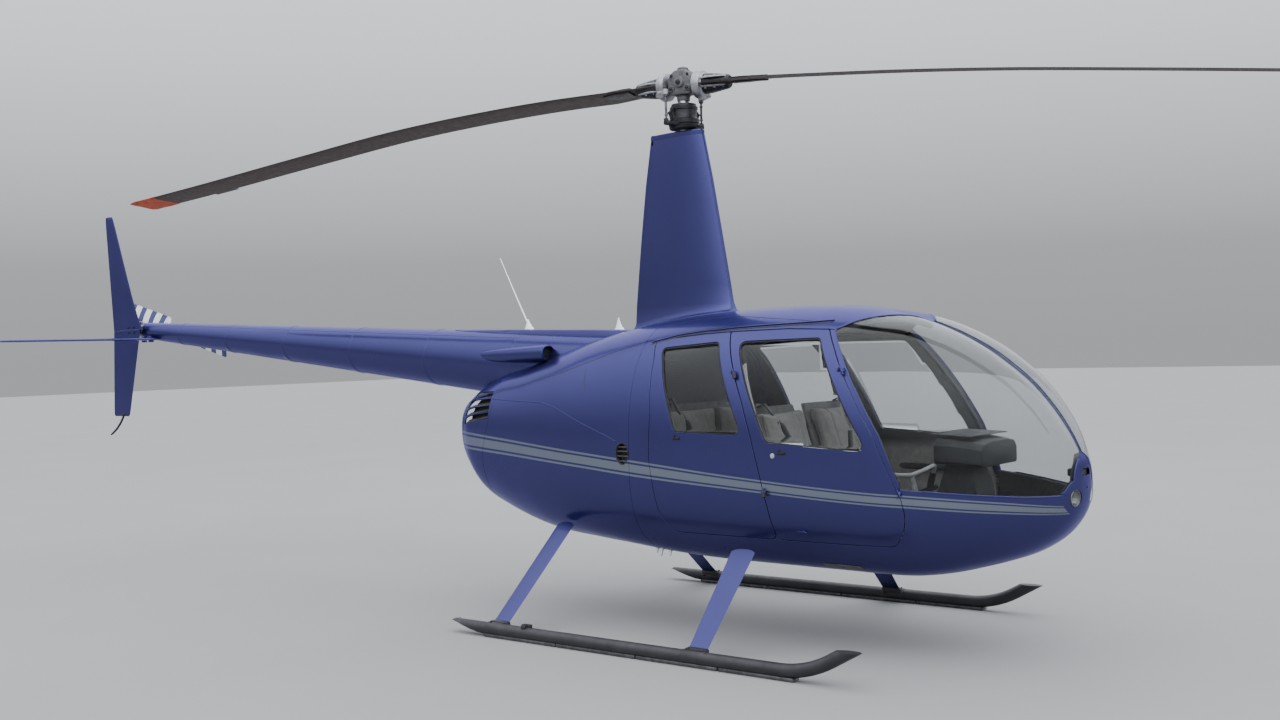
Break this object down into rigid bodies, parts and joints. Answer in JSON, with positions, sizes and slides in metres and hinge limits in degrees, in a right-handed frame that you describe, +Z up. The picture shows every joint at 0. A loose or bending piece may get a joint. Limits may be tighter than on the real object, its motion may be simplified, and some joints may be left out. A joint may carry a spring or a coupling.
{
  "type": "four-seat light helicopter",
  "caption": "Four-seat light helicopter on fixed skids with a two-blade main rotor on a tall faired mast, a round tail cone, a side tail rotor and four hinged cabin doors.",
  "frame": {"origin": "on the ground, under the centre of the whole object's outer box", "axes": "+X forward to the nose, +Y to the left side, +Z up"},
  "size_m": [11.6346, 2.495, 3.305],
  "materials": {
    "blue_paint": "metallic gloss",
    "dark_metal": "satin",
    "bare_metal": "satin",
    "white_paint": "gloss",
    "clear_glass": "clear",
    "seat_trim": "woven",
    "dark_plastic": "matte"
  },
  "bodies": {
    "fuselage": {"cabin_floor_and_nose": "blue_paint", "cabin_roof": "blue_paint", "centre_post_left": "dark_metal", "centre_post_right": "dark_metal", "cooling_fan_housing": "dark_metal", "engine_block": "bare_metal", "engine_cowl": "blue_paint", "fin_antenna": "white_paint", "fin_bracket": "dark_metal", "front_post_left": "blue_paint", "front_post_right": "blue_paint", "front_seat_left": "seat_trim", "front_seat_right": "seat_trim", "front_strut_left": "blue_paint", "front_strut_right": "blue_paint", "instrument_console": "dark_plastic", "lower_fin": "blue_paint", "mast_fairing": "blue_paint", "rear_bulkhead": "seat_trim", "rear_post_left": "blue_paint", "rear_post_right": "blue_paint", "rear_seat": "seat_trim", "rear_strut_left": "blue_paint", "rear_strut_right": "blue_paint", "skid_left": "dark_metal", "skid_right": "dark_metal", "stabiliser": "blue_paint", "tail_cone": "blue_paint", "tail_gearbox": "dark_metal", "tail_skid": "dark_metal", "upper_fin": "blue_paint", "whip_antenna": "white_paint", "windscreen_left": "clear_glass", "windscreen_right": "clear_glass"},
    "main_rotor": {"blade_cuff_a": "bare_metal", "blade_cuff_b": "bare_metal", "main_blade_a": "dark_metal", "main_blade_b": "dark_metal", "main_rotor_hub": "bare_metal", "main_rotor_mast": "bare_metal", "swashplate": "dark_metal"},
    "tail_rotor": {"tail_blade_a": "white_paint", "tail_blade_b": "white_paint", "tail_rotor_hub": "bare_metal"},
    "front_door_right": {"front_door_right": "blue_paint", "front_window_right": "clear_glass"},
    "front_door_left": {"front_door_left": "blue_paint", "front_window_left": "clear_glass"},
    "rear_door_right": {"rear_door_right": "blue_paint", "rear_window_right": "clear_glass"},
    "rear_door_left": {"rear_door_left": "blue_paint", "rear_window_left": "clear_glass"}
  },
  "joints": [
    {"name": "main_rotor_spin", "type": "hinge", "parent": "fuselage", "child": "main_rotor", "pos_m": [0.79851, 0.1525, 3], "axis": [0, 0, 1], "continuous": true},
    {"name": "tail_rotor_spin", "type": "hinge", "parent": "fuselage", "child": "tail_rotor", "pos_m": [-5.09149, 0.3525, 1.895], "axis": [0, -1, 0], "continuous": true},
    {"name": "front_door_right_hinge", "type": "hinge", "parent": "fuselage", "child": "front_door_right", "pos_m": [2.49451, -0.4555, 0.88], "axis": [-0.4631, 0.0392, 0.8855], "range_deg": [0, 78]},
    {"name": "front_door_left_hinge", "type": "hinge", "parent": "fuselage", "child": "front_door_left", "pos_m": [2.49451, 0.7605, 0.88], "axis": [0.4631, 0.0392, -0.8855], "range_deg": [0, 78]},
    {"name": "rear_door_right_hinge", "type": "hinge", "parent": "fuselage", "child": "rear_door_right", "pos_m": [1.72751, -0.5055, 0.86], "axis": [-0.3131, 0.0912, 0.9453], "range_deg": [0, 78]},
    {"name": "rear_door_left_hinge", "type": "hinge", "parent": "fuselage", "child": "rear_door_left", "pos_m": [1.72751, 0.8105, 0.86], "axis": [0.3131, 0.0912, -0.9453], "range_deg": [0, 78]}
  ],
  "couplings": [
    {"joint": "tail_rotor_spin", "follows": "main_rotor_spin", "ratio": 5.946}
  ]
}
